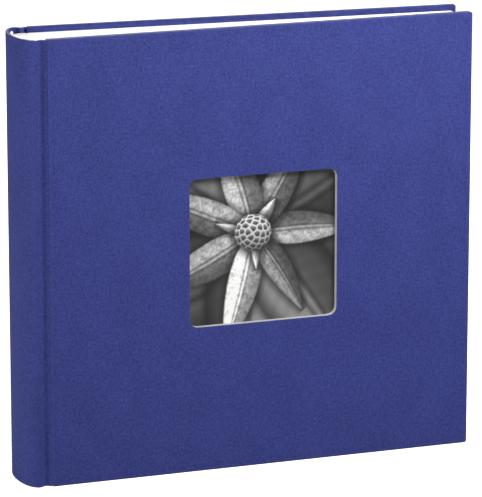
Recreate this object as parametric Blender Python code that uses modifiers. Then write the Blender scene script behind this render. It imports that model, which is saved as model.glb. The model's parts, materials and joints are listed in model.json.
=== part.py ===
"""Book-bound photo album with a cloth case and a picture window in its front cover.

The album stands upright on its tail. X runs from the rounded spine to the fore edge, Y from the
front cover to the back cover and Z from tail to head. The origin is the centre of its footprint.

The case is two boards and a spine card in book cloth. The text block is thirty card leaves, each
creased next to its stub, and the stubs are sewn in six sections on three tapes. Every hinge is
vertical: the covers turn in the two grooves beside the spine, and a leaf turns at its crease.
"""

import math

import bmesh
import bpy
from mathutils import Matrix, Vector

MM = 0.001

# Case
COVER_HEIGHT = 300 * MM
COVER_WIDTH = 298 * MM  # from groove to fore edge, over the cloth
COVER_LEAN = math.radians(1.86)  # each closed cover leans in, because the fore edge is thinner
CORNER_RADIUS = 1.6 * MM
EDGE_ROUNDING = 0.7 * MM
CLOTH = 0.35 * MM
TURN_IN_WIDTH = 15 * MM
GLUE_GAP = 0.25 * MM
WINDOW_PLY = 3.6 * MM
POCKET_PLY = 0.9 * MM
BACK_BOARD = 2.8 * MM

# Grooves and spine
GROOVE_WIDTH = 8 * MM
GROOVE_DEPTH = 3.2 * MM
GROOVE_BEND = 0.9 * MM
JOINT_CLEARANCE = 0.6 * MM  # from the cloth in the groove to the cover that turns beside it
HINGE_PROUD = 0.3 * MM  # the hinge line stands this far outside the cover's face
SPINE_BULGE = 10.5 * MM
SHOULDER_DROP = 0.8 * MM
SPINE_CARD = 1.0 * MM
CARD_EDGE_SETBACK = 0.5 * MM
SPINE_TURN_IN = 12 * MM
HOLLOW = 0.5 * MM  # free room between the case's spine and the text block's back

# Window and picture
WINDOW_WIDTH = 104.5 * MM
WINDOW_HEIGHT = 101 * MM
WINDOW_RADIUS = 6 * MM
PRINT_LAP = 5 * MM
PRINT_CORNER = 1 * MM
PRINT_THICKNESS = 0.2 * MM
BACKING_THICKNESS = 0.3 * MM
POCKET_CLEARANCE = 0.5 * MM

# Text block
LEAF_COUNT = 30
LEAVES_PER_SECTION = 5
LEAF = 0.45 * MM
GUARD = 0.93 * MM  # spacer between two leaves at the spine, which makes room for pictures
SQUARE = 4 * MM  # how far the covers stand out past the leaves
ENDPAPER = 0.2 * MM
LEAF_CLEARANCE = 0.3 * MM
STUB_END = 4 * MM  # from the cover's groove edge, towards the fore edge
CREASE_OFFSET = 2 * MM  # from the stub's end to the crease that the leaf turns on
CREASE_ZONE = 4 * MM  # the soft part of a leaf past its crease
FINGER_LENGTH = 5 * MM

# Binding
TAPE_WIDTH = 14 * MM
TAPE_THICKNESS = 0.4 * MM
TAPE_INSET = 56 * MM  # middle of the lower or upper tape, from the nearer end of the leaves
THREAD_DIAMETER = 0.4 * MM
KETTLE_INSET = 14 * MM
MULL = 0.25 * MM
MULL_INSET = 12 * MM
LINER = 0.25 * MM
LINER_INSET = 6 * MM
STRIP_SETBACK = 1 * MM  # from the sides of the block to what is glued on its back
HEADBAND_DIAMETER = 2.2 * MM
ARC_STEPS = 20
CORNER_STEPS = 5

# Levels across the thickness, counted inwards from each cover's outer face
BOARD_FROM = CLOTH + GLUE_GAP
WINDOW_PLY_TO = BOARD_FROM + WINDOW_PLY
POCKET_PLY_FROM = WINDOW_PLY_TO + GLUE_GAP
POCKET_PLY_TO = POCKET_PLY_FROM + POCKET_PLY
BACK_BOARD_TO = BOARD_FROM + BACK_BOARD
TURN_IN_BUILD = GLUE_GAP + CLOTH
PASTEDOWN_BUILD = GLUE_GAP + ENDPAPER
FRONT_CLOTH_TO = POCKET_PLY_TO + TURN_IN_BUILD
BACK_CLOTH_TO = BACK_BOARD_TO + TURN_IN_BUILD
FRONT_COVER = FRONT_CLOTH_TO + PASTEDOWN_BUILD
BACK_COVER = BACK_CLOTH_TO + PASTEDOWN_BUILD
FLYLEAF_BUILD = LEAF_CLEARANCE + ENDPAPER

# The block and the whole thickness at the spine follow from the leaves
LEAF_PITCH = LEAF + GUARD
BLOCK = LEAF_COUNT * LEAF_PITCH
LEAN_ROOM = (GROOVE_WIDTH / 2 + STUB_END + CREASE_OFFSET) * math.tan(COVER_LEAN)
ENDPAPER_ROOM = LEAN_ROOM + FLYLEAF_BUILD
THICKNESS = FRONT_COVER + ENDPAPER_ROOM + BLOCK + ENDPAPER_ROOM + BACK_COVER
FRONT_Y = -THICKNESS / 2
BACK_Y = THICKNESS / 2
BLOCK_FRONT_Y = FRONT_Y + FRONT_COVER + ENDPAPER_ROOM
BLOCK_Y = BLOCK_FRONT_Y + BLOCK / 2

# Places along the width
OVERALL_WIDTH = SPINE_BULGE + GROOVE_WIDTH + COVER_WIDTH
SPINE_X = -OVERALL_WIDTH / 2
SHOULDER_X = SPINE_X + SPINE_BULGE
COVER_X = SHOULDER_X + GROOVE_WIDTH
FORE_X = COVER_X + COVER_WIDTH
HINGE_X = COVER_X - GROOVE_WIDTH / 2
STUB_X = COVER_X + STUB_END
CREASE_X = STUB_X + CREASE_OFFSET
LEAF_X = CREASE_X + CREASE_ZONE
LEAF_FORE_X = FORE_X - SQUARE
LEAF_TAIL_Z = SQUARE
LEAF_HEAD_Z = COVER_HEIGHT - SQUARE
WINDOW_X = COVER_X + COVER_WIDTH / 2
WINDOW_Z = COVER_HEIGHT / 2

# The spine is half an ellipse between the shoulders, and its layers are insets of that ellipse
SPINE_HALF = THICKNESS / 2 - SHOULDER_DROP
CARD_FROM = BOARD_FROM
CARD_TO = CARD_FROM + SPINE_CARD
CASE_TO = CARD_TO + TURN_IN_BUILD
LINER_FROM = CASE_TO + HOLLOW
MULL_FROM = LINER_FROM + LINER + GLUE_GAP
TAPE_FROM = MULL_FROM + MULL + GLUE_GAP
BLOCK_FROM = TAPE_FROM + TAPE_THICKNESS + GLUE_GAP
BAND_FROM = CASE_TO + HOLLOW + HEADBAND_DIAMETER / 2
BACK_HALF = BLOCK / 2 + abs(BLOCK_Y) + BLOCK_FROM  # half an ellipse that reaches both sides of the block
TAPE_HEIGHTS = (LEAF_TAIL_Z + TAPE_INSET, COVER_HEIGHT / 2, LEAF_HEAD_Z - TAPE_INSET)

# The cutters that lean and turn with each cover
FRONT_TOOLS = (
    "front_cover_cloth_pocket",
    "front_cover_cloth_mouth",
    "window_opening",
    "picture_pocket",
)
BACK_TOOLS = ("back_cover_cloth_pocket", "back_cover_cloth_mouth")


def clear_scene():
    for obj in list(bpy.data.objects):
        bpy.data.objects.remove(obj, do_unlink=True)


def new_collection(name):
    collection = bpy.data.collections.new(name)
    bpy.context.scene.collection.children.link(collection)
    return collection


def material(name, colour, roughness):
    made = bpy.data.materials.new(name)
    made.use_nodes = True
    shader = made.node_tree.nodes["Principled BSDF"]
    shader.inputs["Base Color"].default_value = (*colour, 1)
    shader.inputs["Roughness"].default_value = roughness
    shader.inputs["Metallic"].default_value = 0
    return made


def add_object(name, mesh, collection, finish=None):
    obj = bpy.data.objects.new(name, mesh)
    collection.objects.link(obj)
    if finish:
        mesh.materials.append(finish)
    return obj


def box(name, low, high, collection, finish=None):
    """An upright box between two corners."""
    low, high = Vector(low), Vector(high)
    mesh = bpy.data.meshes.new(name)
    bm = bmesh.new()
    bmesh.ops.create_cube(bm, size=1)
    bmesh.ops.scale(bm, vec=high - low, verts=bm.verts)
    bmesh.ops.translate(bm, vec=(low + high) / 2, verts=bm.verts)
    bm.to_mesh(mesh)
    bm.free()
    return add_object(name, mesh, collection, finish)


def welded_mesh(curve_object, name):
    """The mesh of a curve object, with its loose caps welded on; the curve is removed."""
    graph = bpy.context.evaluated_depsgraph_get()
    mesh = bpy.data.meshes.new_from_object(curve_object.evaluated_get(graph))
    mesh.transform(curve_object.matrix_world)
    mesh.name = name
    mesh.materials.clear()
    bm = bmesh.new()
    bm.from_mesh(mesh)
    bmesh.ops.remove_doubles(bm, verts=bm.verts, dist=1e-7)
    bmesh.ops.recalc_face_normals(bm, faces=bm.faces)
    bm.to_mesh(mesh)
    bm.free()
    bpy.data.objects.remove(curve_object)
    return mesh


def prism(name, outline, low, high, collection, finish=None, along_y=False):
    """A closed outline extruded from low to high: an XY outline along Z, or an XZ one along Y."""
    curve = bpy.data.curves.new(name, "CURVE")
    curve.dimensions = "2D"
    curve.fill_mode = "BOTH"
    curve.extrude = (high - low) / 2
    spline = curve.splines.new("POLY")
    spline.points.add(len(outline) - 1)
    for point, (u, v) in zip(spline.points, outline):
        point.co = (u, v, 0, 1)
    spline.use_cyclic_u = True
    guide = bpy.data.objects.new(name, curve)
    collection.objects.link(guide)
    middle = (low + high) / 2
    if along_y:
        guide.matrix_world = Matrix.Translation((0, middle, 0)) @ Matrix.Rotation(math.pi / 2, 4, "X")
    else:
        guide.matrix_world = Matrix.Translation((0, 0, middle))
    bpy.context.view_layer.update()
    return add_object(name, welded_mesh(guide, name), collection, finish)


def rounded_rectangle(low, high, radius):
    """Corners of a rectangle, each a quarter circle, anticlockwise."""
    points = []
    for turn, (u, v) in enumerate(
        ((high[0], low[1]), (high[0], high[1]), (low[0], high[1]), (low[0], low[1]))
    ):
        centre_u = u - math.copysign(radius, u - low[0] - radius)
        centre_v = v - math.copysign(radius, v - low[1] - radius)
        for step in range(CORNER_STEPS + 1):
            angle = math.pi / 2 * (turn - 1 + step / CORNER_STEPS)
            points.append((centre_u + radius * math.cos(angle), centre_v + radius * math.sin(angle)))
    return points


def spine_curve(half, inset, from_y, to_y):
    """Points of the spine's ellipse, inset from one of this half height, between two places."""
    from_angle = math.asin(from_y / (half - inset))
    to_angle = math.asin(to_y / (half - inset))
    points = []
    for step in range(ARC_STEPS + 1):
        angle = from_angle + (to_angle - from_angle) * step / ARC_STEPS
        points.append(
            (SHOULDER_X - (SPINE_BULGE - inset) * math.cos(angle), (half - inset) * math.sin(angle))
        )
    return points


def case_band(outer, inner, overrun=0):
    """Outline of a layer of the case's spine between two insets, from shoulder to shoulder."""
    outer_half, inner_half = SPINE_HALF - outer, SPINE_HALF - inner
    outline = spine_curve(SPINE_HALF, outer, -outer_half, outer_half)
    if overrun:
        outline += [(SHOULDER_X + overrun, outer_half), (SHOULDER_X + overrun, inner_half)]
    outline += spine_curve(SPINE_HALF, inner, inner_half, -inner_half)
    if overrun:
        outline += [(SHOULDER_X + overrun, -inner_half), (SHOULDER_X + overrun, -outer_half)]
    return outline


def cutter(obj):
    obj.hide_render = True
    obj.display_type = "WIRE"
    return obj


def cut(obj, *cutters):
    for tool in cutters:
        modifier = obj.modifiers.new("cut " + tool.name, "BOOLEAN")
        modifier.operation = "DIFFERENCE"
        modifier.object = cutter(tool)


def round_edges(obj, width):
    modifier = obj.modifiers.new("rounded edges", "BEVEL")
    modifier.width = width
    modifier.segments = 2
    modifier.limit_method = "ANGLE"
    modifier.angle_limit = math.radians(50)


def hinge(name, x, y, lean, collection):
    """An empty on a vertical hinge line, turned by the lean of what hangs on it."""
    empty = bpy.data.objects.new(name, None)
    empty.location = (x, y, 0)
    empty.rotation_euler = (0, 0, lean)
    collection.objects.link(empty)
    return empty


def hang(empty, *pieces):
    """Parents pieces to a hinge and moves their origins onto its line."""
    for piece in pieces:
        piece.data.transform(Matrix.Translation(-empty.location))
        piece.parent = empty


def case_side(name, sign, outer_y, depth, parts, tools, finish):
    """Book cloth wrapped round one cover's boards: its face, its four edges and its turn-ins.

    sign is 1 where inwards is +Y, as on the front cover, and -1 on the back cover.
    """

    def across(near, far):
        return sorted((outer_y + sign * near, outer_y + sign * far))

    outline = rounded_rectangle((COVER_X, 0), (FORE_X, COVER_HEIGHT), CORNER_RADIUS)
    cloth = prism(name, outline, *across(0, depth), parts, finish, along_y=True)
    round_edges(cloth, EDGE_ROUNDING)
    inside = rounded_rectangle(
        (COVER_X + CLOTH, CLOTH), (FORE_X - CLOTH, COVER_HEIGHT - CLOTH), CORNER_RADIUS - CLOTH
    )
    pocket = prism(name + "_pocket", inside, *across(CLOTH, depth - CLOTH), tools, along_y=True)
    mouth_y = across(depth - 2 * CLOTH, depth + CLOTH)
    mouth = box(
        name + "_mouth",
        (COVER_X + CLOTH, mouth_y[0], TURN_IN_WIDTH),
        (FORE_X - TURN_IN_WIDTH, mouth_y[1], COVER_HEIGHT - TURN_IN_WIDTH),
        tools,
    )
    cut(cloth, pocket, mouth)
    return cloth


def window_outline(margin, radius):
    """The window's outline, grown by a margin."""
    half_width = WINDOW_WIDTH / 2 + margin
    half_height = WINDOW_HEIGHT / 2 + margin
    return rounded_rectangle(
        (WINDOW_X - half_width, WINDOW_Z - half_height),
        (WINDOW_X + half_width, WINDOW_Z + half_height),
        radius,
    )


def board(name, y_low, y_high, parts, finish):
    """A cover board, which the cloth's inside clears by the glue's thickness."""
    inset = CLOTH + GLUE_GAP
    outline = rounded_rectangle(
        (COVER_X + inset, inset), (FORE_X - inset, COVER_HEIGHT - inset), CORNER_RADIUS - inset
    )
    return prism(name, outline, y_low, y_high, parts, finish, along_y=True)


def pastedown(name, y_low, y_high, parts, finish):
    return box(
        name,
        (COVER_X + GLUE_GAP, y_low, SQUARE),
        (FORE_X - SQUARE, y_high, COVER_HEIGHT - SQUARE),
        parts,
        finish,
    )


def front_cover(parts, tools, finishes):
    """The front boards, their cloth, the picture behind the window and the pasted endpaper."""
    cloth = case_side("front_cover_cloth", 1, FRONT_Y, FRONT_CLOTH_TO, parts, tools, finishes["cloth"])
    window_ply = board(
        "front_board_window_ply",
        FRONT_Y + BOARD_FROM,
        FRONT_Y + WINDOW_PLY_TO,
        parts,
        finishes["greyboard"],
    )
    opening = prism(
        "window_opening",
        window_outline(0, WINDOW_RADIUS),
        FRONT_Y - CLOTH,
        FRONT_Y + WINDOW_PLY_TO + GLUE_GAP / 2,
        tools,
        along_y=True,
    )
    cut(cloth, opening)
    cut(window_ply, opening)
    pocket_ply = board(
        "front_board_pocket_ply",
        FRONT_Y + POCKET_PLY_FROM,
        FRONT_Y + POCKET_PLY_TO,
        parts,
        finishes["greyboard"],
    )
    pocket = prism(
        "picture_pocket",
        window_outline(PRINT_LAP + POCKET_CLEARANCE, PRINT_CORNER + POCKET_CLEARANCE),
        FRONT_Y + POCKET_PLY_FROM - GLUE_GAP / 2,
        FRONT_Y + POCKET_PLY_TO + GLUE_GAP / 2,
        tools,
        along_y=True,
    )
    cut(pocket_ply, pocket)
    print_y = FRONT_Y + POCKET_PLY_FROM
    picture = prism(
        "window_print",
        window_outline(PRINT_LAP, PRINT_CORNER),
        print_y,
        print_y + PRINT_THICKNESS,
        parts,
        finishes["print"],
        along_y=True,
    )
    backing_y = print_y + PRINT_THICKNESS + GLUE_GAP
    backing = prism(
        "print_backing_card",
        window_outline(PRINT_LAP, PRINT_CORNER),
        backing_y,
        backing_y + BACKING_THICKNESS,
        parts,
        finishes["card"],
        along_y=True,
    )
    paper = pastedown(
        "front_pastedown",
        FRONT_Y + FRONT_CLOTH_TO + GLUE_GAP,
        FRONT_Y + FRONT_COVER,
        parts,
        finishes["endpaper"],
    )
    line = hinge("front_cover_hinge", HINGE_X, FRONT_Y - HINGE_PROUD, COVER_LEAN, parts)
    hang(line, cloth, window_ply, pocket_ply, picture, backing, paper)
    hang(line, *(tools.objects[name] for name in FRONT_TOOLS))


def back_cover(parts, tools, finishes):
    """The back board, its cloth and the pasted endpaper."""
    cloth = case_side("back_cover_cloth", -1, BACK_Y, BACK_CLOTH_TO, parts, tools, finishes["cloth"])
    back_board = board(
        "back_board", BACK_Y - BACK_BOARD_TO, BACK_Y - BOARD_FROM, parts, finishes["greyboard"]
    )
    paper = pastedown(
        "back_pastedown",
        BACK_Y - BACK_COVER,
        BACK_Y - BACK_CLOTH_TO - GLUE_GAP,
        parts,
        finishes["endpaper"],
    )
    line = hinge("back_cover_hinge", HINGE_X, BACK_Y + HINGE_PROUD, -COVER_LEAN, parts)
    hang(line, cloth, back_board, paper)
    hang(line, *(tools.objects[name] for name in BACK_TOOLS))


def spine(parts, tools, finishes):
    """The case's spine: a curved card in cloth that is turned in over its head and tail."""
    cloth = prism(
        "spine_cloth",
        case_band(0, CASE_TO),
        0,
        COVER_HEIGHT,
        parts,
        finishes["cloth"],
    )
    pocket = prism(
        "spine_pocket",
        case_band(CLOTH, CASE_TO - CLOTH, CARD_EDGE_SETBACK),
        CLOTH,
        COVER_HEIGHT - CLOTH,
        tools,
    )
    mouth = prism(
        "spine_mouth",
        case_band(CASE_TO - 2 * CLOTH, CASE_TO + CLOTH, CARD_EDGE_SETBACK),
        SPINE_TURN_IN,
        COVER_HEIGHT - SPINE_TURN_IN,
        tools,
    )
    cut(cloth, pocket, mouth)
    prism(
        "spine_card",
        case_band(CARD_FROM, CARD_TO),
        CLOTH + GLUE_GAP,
        COVER_HEIGHT - CLOTH - GLUE_GAP,
        parts,
        finishes["card"],
    )


def joint_cloth(name, sign, parts, finish):
    """Book cloth in the groove beside the spine: down past the shoulder, then along the bottom.

    sign is -1 for the front groove and 1 for the back one.
    """
    left = SHOULDER_X + GLUE_GAP
    right = COVER_X - JOINT_CLEARANCE
    top = THICKNESS / 2 - SHOULDER_DROP - GLUE_GAP
    floor = THICKNESS / 2 - GROOVE_DEPTH
    outline = [(left, top), (left + CLOTH, top)]
    for step in range(CORNER_STEPS + 1):
        angle = math.pi / 2 * step / CORNER_STEPS
        bend = GROOVE_BEND - CLOTH
        outline.append(
            (left + GROOVE_BEND - bend * math.cos(angle), floor + bend - bend * math.sin(angle))
        )
    outline += [(right, floor), (right, floor - CLOTH)]
    for step in range(CORNER_STEPS + 1):
        angle = math.pi / 2 * (1 - step / CORNER_STEPS)
        outline.append(
            (
                left + GROOVE_BEND - GROOVE_BEND * math.cos(angle),
                floor + GROOVE_BEND - CLOTH - GROOVE_BEND * math.sin(angle),
            )
        )
    prism(name, [(x, sign * y) for x, y in outline], 0, COVER_HEIGHT, parts, finish)


def leaf_y(number):
    """Middle of leaf number at its crease, counted from 1 at the front cover."""
    return BLOCK_FRONT_Y + (number - 0.5) * LEAF_PITCH


def leaf_lean(y):
    """Lean of a leaf with its crease at y: the covers' own at the block's sides, none between."""
    return COVER_LEAN * (BLOCK_Y - y) / (BLOCK / 2)


def leaf(name, y, lean, thickness, parts, finish):
    """The free part of a leaf, which turns on a crease in line with its middle."""
    sheet = box(
        name,
        (LEAF_X, y - thickness / 2, LEAF_TAIL_Z),
        (LEAF_FORE_X, y + thickness / 2, LEAF_HEAD_Z),
        parts,
        finish,
    )
    hang(hinge(name + "_crease", CREASE_X, y, lean, parts), sheet)


def guard_section(number, parts, finish):
    """Five leaf stubs and the guards between them, glued and sewn into one section.

    The stubs stick out as fingers, and each points at the leaf that is creased off it.
    """
    first = (number - 1) * LEAVES_PER_SECTION + 1
    leaves = range(first, first + LEAVES_PER_SECTION)
    low = leaf_y(first) - LEAF_PITCH / 2 + GLUE_GAP / 2
    high = leaf_y(leaves[-1]) + LEAF_PITCH / 2 - GLUE_GAP / 2
    root = STUB_X - FINGER_LENGTH
    outline = [(root, low)]
    for leaf_number in leaves:
        y = leaf_y(leaf_number)
        outline += [
            (root, y - LEAF / 2),
            (STUB_X, y - LEAF / 2),
            (STUB_X, y + LEAF / 2),
            (root, y + LEAF / 2),
        ]
    outline.append((root, high))
    outline += spine_curve(BACK_HALF, BLOCK_FROM, high, low)
    prism(f"guard_section_{number}", outline, LEAF_TAIL_Z, LEAF_HEAD_Z, parts, finish)


def on_block_back(inset, thickness):
    """Outline of a strip glued on the text block's back."""
    low = BLOCK_FRONT_Y + STRIP_SETBACK
    high = BLOCK_FRONT_Y + BLOCK - STRIP_SETBACK
    outer = spine_curve(BACK_HALF, inset, low, high)
    return outer + spine_curve(BACK_HALF, inset + thickness, high, low)


def binding(parts, finishes):
    """What holds the sections together at the back: tapes, kettle stitches, gauze and liner."""
    tape = on_block_back(TAPE_FROM, TAPE_THICKNESS)
    for name, height in zip(("lower", "middle", "upper"), TAPE_HEIGHTS):
        prism(
            f"sewing_tape_{name}",
            tape,
            height - TAPE_WIDTH / 2,
            height + TAPE_WIDTH / 2,
            parts,
            finishes["tape"],
        )
    mull = on_block_back(MULL_FROM, MULL)
    prism(
        "mull_lining",
        mull,
        LEAF_TAIL_Z + MULL_INSET,
        LEAF_HEAD_Z - MULL_INSET,
        parts,
        finishes["mull"],
    )
    liner = on_block_back(LINER_FROM, LINER)
    prism(
        "spine_liner",
        liner,
        LEAF_TAIL_Z + LINER_INSET,
        LEAF_HEAD_Z - LINER_INSET,
        parts,
        finishes["kraft"],
    )


def cord(name, half, inset, height, diameter, parts, finish):
    """A round cord across the back of the block, at one height, on an inset of an ellipse."""
    curve = bpy.data.curves.new(name, "CURVE")
    curve.dimensions = "3D"
    curve.bevel_depth = diameter / 2
    curve.bevel_resolution = 2
    curve.use_fill_caps = True
    spline = curve.splines.new("POLY")
    setback = STRIP_SETBACK + diameter / 2
    low = BLOCK_FRONT_Y + setback
    high = BLOCK_FRONT_Y + BLOCK - setback
    points = spine_curve(half, inset, low, high)
    spline.points.add(len(points) - 1)
    for point, (x, y) in zip(spline.points, points):
        point.co = (x, y, height, 1)
    curve.materials.append(finish)
    parts.objects.link(bpy.data.objects.new(name, curve))


def cords(parts, finishes):
    """Kettle stitches that link the sections, and the bands at the head and tail of the spine."""
    thread_inset = TAPE_FROM + TAPE_THICKNESS / 2
    for name, height in (
        ("kettle_stitch_tail", LEAF_TAIL_Z + KETTLE_INSET),
        ("kettle_stitch_head", LEAF_HEAD_Z - KETTLE_INSET),
    ):
        cord(name, BACK_HALF, thread_inset, height, THREAD_DIAMETER, parts, finishes["thread"])
    rise = HEADBAND_DIAMETER / 2 + GLUE_GAP
    for name, height in (("tailband", LEAF_TAIL_Z - rise), ("headband", LEAF_HEAD_Z + rise)):
        cord(name, SPINE_HALF, BAND_FROM, height, HEADBAND_DIAMETER, parts, finishes["headband"])


def main():
    clear_scene()
    parts = new_collection("photo_album")
    tools = new_collection("cutters")
    finishes = {
        "cloth": material("cover_cloth", (0.052, 0.068, 0.260), 0.75),
        "greyboard": material("greyboard", (0.52, 0.50, 0.48), 0.9),
        "card": material("spine_card", (0.62, 0.60, 0.56), 0.85),
        "print": material("print_paper", (0.35, 0.35, 0.35), 0.3),
        "endpaper": material("endpaper", (0.86, 0.85, 0.82), 0.7),
        "leaf": material("leaf_card", (0.88, 0.87, 0.84), 0.75),
        "tape": material("linen_tape", (0.78, 0.74, 0.66), 0.9),
        "mull": material("mull_gauze", (0.82, 0.80, 0.74), 0.95),
        "kraft": material("kraft_paper", (0.50, 0.36, 0.22), 0.85),
        "thread": material("linen_thread", (0.84, 0.81, 0.74), 0.8),
        "headband": material("headband_silk", (0.88, 0.87, 0.84), 0.6),
    }
    front_cover(parts, tools, finishes)
    back_cover(parts, tools, finishes)
    spine(parts, tools, finishes)
    joint_cloth("front_joint_cloth", -1, parts, finishes["cloth"])
    joint_cloth("back_joint_cloth", 1, parts, finishes["cloth"])
    front_y = BLOCK_FRONT_Y - ENDPAPER / 2
    back_y = BLOCK_FRONT_Y + BLOCK + ENDPAPER / 2
    leaf("front_flyleaf", front_y, COVER_LEAN, ENDPAPER, parts, finishes["endpaper"])
    leaf("back_flyleaf", back_y, -COVER_LEAN, ENDPAPER, parts, finishes["endpaper"])
    for number in range(1, LEAF_COUNT + 1):
        y = leaf_y(number)
        leaf(f"leaf_{number:02}", y, leaf_lean(y), LEAF, parts, finishes["leaf"])
    for number in range(1, LEAF_COUNT // LEAVES_PER_SECTION + 1):
        guard_section(number, parts, finishes["leaf"])
    binding(parts, finishes)
    cords(parts, finishes)


main()
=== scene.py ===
"""Looks of a cloth-bound photo album with a picture window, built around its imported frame.

Run as a script, it makes every visible piece of the album, then the floor, lights and camera.
The album stands on its tail: X runs from spine to fore edge, Y from front cover to back cover.
"""

import json
import math
import random

import bmesh
import bpy
import numpy as np
from mathutils import Matrix, Vector

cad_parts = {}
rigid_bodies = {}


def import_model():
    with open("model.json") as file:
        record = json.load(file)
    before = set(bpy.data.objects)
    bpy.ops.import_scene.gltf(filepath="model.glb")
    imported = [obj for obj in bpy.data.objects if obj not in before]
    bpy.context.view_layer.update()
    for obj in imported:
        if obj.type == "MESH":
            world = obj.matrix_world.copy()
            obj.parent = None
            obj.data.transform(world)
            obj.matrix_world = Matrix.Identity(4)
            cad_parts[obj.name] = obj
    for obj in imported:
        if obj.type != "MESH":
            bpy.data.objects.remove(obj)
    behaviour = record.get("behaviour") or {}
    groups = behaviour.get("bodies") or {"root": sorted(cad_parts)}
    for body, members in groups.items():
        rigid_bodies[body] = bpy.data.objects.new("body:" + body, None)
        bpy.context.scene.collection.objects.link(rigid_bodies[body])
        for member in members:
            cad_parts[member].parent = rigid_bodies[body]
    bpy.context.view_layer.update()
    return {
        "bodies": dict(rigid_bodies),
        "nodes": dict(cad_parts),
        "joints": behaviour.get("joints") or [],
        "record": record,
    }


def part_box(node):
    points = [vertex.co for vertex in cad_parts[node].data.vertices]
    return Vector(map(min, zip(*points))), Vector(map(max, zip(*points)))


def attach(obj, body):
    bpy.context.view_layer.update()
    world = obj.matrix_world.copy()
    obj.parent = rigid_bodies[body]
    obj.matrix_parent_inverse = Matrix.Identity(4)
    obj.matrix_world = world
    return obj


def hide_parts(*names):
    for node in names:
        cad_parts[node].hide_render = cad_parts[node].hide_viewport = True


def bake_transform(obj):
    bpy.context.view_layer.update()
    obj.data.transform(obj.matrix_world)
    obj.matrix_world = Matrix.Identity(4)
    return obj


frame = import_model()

bl_info = {
    "name": "Cloth-bound photo album",
    "version": (1, 0, 0),
    "blender": (4, 5, 0),
    "location": "3D View > Sidebar > Album",
    "description": "Builds the case, leaves, picture and stage of a photo album",
    "category": "Object",
}

MM = 0.001
JOINTS = {joint["name"]: joint for joint in frame["joints"]}
MOUNTS = {mount["name"]: mount for mount in frame["record"]["mounts"]}
LEAN = math.asin(MOUNTS["front_cover_face"]["axis"][0])
LEAVES = sorted(name for name in frame["bodies"] if name.startswith("leaf_"))


def about(place, angle):
    """A turn about the upright line through a place."""
    place = Vector(place)
    return Matrix.Translation(place) @ Matrix.Rotation(angle, 4, "Z") @ Matrix.Translation(-place)


def box_of(places):
    """Lowest and highest corner of some places."""
    columns = list(zip(*places))
    return Vector([min(c) for c in columns]), Vector([max(c) for c in columns])


class Side:
    """The front or the back of the album: its hinge line, its cover's lean and the way inwards."""

    def __init__(self, name, inward):
        self.name = name
        self.cover = name + "_cover"
        self.flyleaf = name + "_flyleaf"
        self.inward = inward
        self.hinge = Vector(JOINTS[self.cover + "_open"]["pos_m"])
        self.closed = about(self.hinge, LEAN * inward)

    def straight_box(self, node):
        """A cover node's lowest and highest corner with the lean taken out."""
        turn = self.closed.inverted()
        return box_of([turn @ v.co for v in frame["nodes"][node].data.vertices])


FRONT = Side("front", 1)
BACK = Side("back", -1)

# Places that every piece is measured from
COVER_LOW, COVER_HIGH = FRONT.straight_box("front_cover_cloth")
SPINE_LOW, SPINE_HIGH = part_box("spine_cloth")
SHOULDER_X = SPINE_HIGH.x
SPINE_BULGE = SPINE_HIGH.x - SPINE_LOW.x
SPINE_HALF = SPINE_HIGH.y
GROOVE_X = COVER_LOW.x
FORE_X = COVER_HIGH.x
HEIGHT = COVER_HIGH.z
CREASE_X = JOINTS[LEAVES[0] + "_turn"]["pos_m"][0]
STUB_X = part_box("guard_section_1")[1].x
PRINT_LOW, PRINT_HIGH = FRONT.straight_box("window_print")

# Build of the case
SPINE_WALL = 2.2 * MM
SPINE_TURN_IN = 12 * MM
TURN_IN_WIDTH = 15 * MM
MITRE_SCORE = 0.16 * MM
CORNER_ROUND = 1.6 * MM
PRINT_LAP = 5 * MM
WINDOW_ROUND = 6 * MM
LIP_ROUND = 0.16 * MM
RIM_DEPTH = 0.5 * MM
RIM_WIDTH = 1.2 * MM
RIM_ROUND = 0.75 * MM
SPINE_ARC = 0.94
GROOVE_TRIM = 0.25 * MM
GROOVE_RUN = SPINE_HALF * 1.3
BAND_TURNS = 112
BAND_TRIM = 0.2 * MM

# The window's sides across and up the straight cover
WINDOW_X = (PRINT_LOW.x + PRINT_LAP, PRINT_HIGH.x - PRINT_LAP)
WINDOW_Z = (PRINT_LOW.z + PRINT_LAP, PRINT_HIGH.z - PRINT_LAP)

# Build of the leaves, the endpapers and the glassine
LEAF_EDGE_ROUND = 0.09 * MM
FOLD_REACH = 1.3 * MM
FOLD_STEPS = 8
PRESS_X = CREASE_X + 3.6 * MM
PRESS_HALF = 0.4 * MM
PRESS_DEPTH = 0.07 * MM
FORE_TRIM = 0.1 * MM
UNEVEN_TRIM = 0.25 * MM
TRIM_SEED = 4
ENDPAPER_THICKNESS = 0.2 * MM
FLYLEAF_ROOT_X = SHOULDER_X - 1.4 * MM
GLASSINE_X = CREASE_X + 12 * MM
GLASSINE_MARGIN = 4 * MM
GLASSINE_LIFT = 0.09 * MM
GLASSINE_WAVE = 0.045 * MM
GLASSINE_RISE = 20 * MM
SHEET_GAP = 0.05 * MM

# Two places this near each other count as the same one
SAME_PLACE = 1e-5


def colour_setting(name, description, default):
    """A colour that the user can change."""
    return bpy.props.FloatVectorProperty(
        name=name, description=description, default=default, subtype="COLOR", size=3, min=0, max=1
    )


def length_setting(name, description, default):
    """A length that the user can change, in metres."""
    return bpy.props.FloatProperty(
        name=name, description=description, default=default, unit="LENGTH", subtype="DISTANCE"
    )


def share_setting(name, description, default, low=0, high=1):
    """A share that the user can change."""
    return bpy.props.FloatProperty(
        name=name, description=description, default=default, subtype="FACTOR", min=low, max=high
    )


def power_setting(name, description, default):
    """A light's power, in watts."""
    return bpy.props.FloatProperty(
        name=name, description=description, default=default, unit="POWER"
    )


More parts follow.
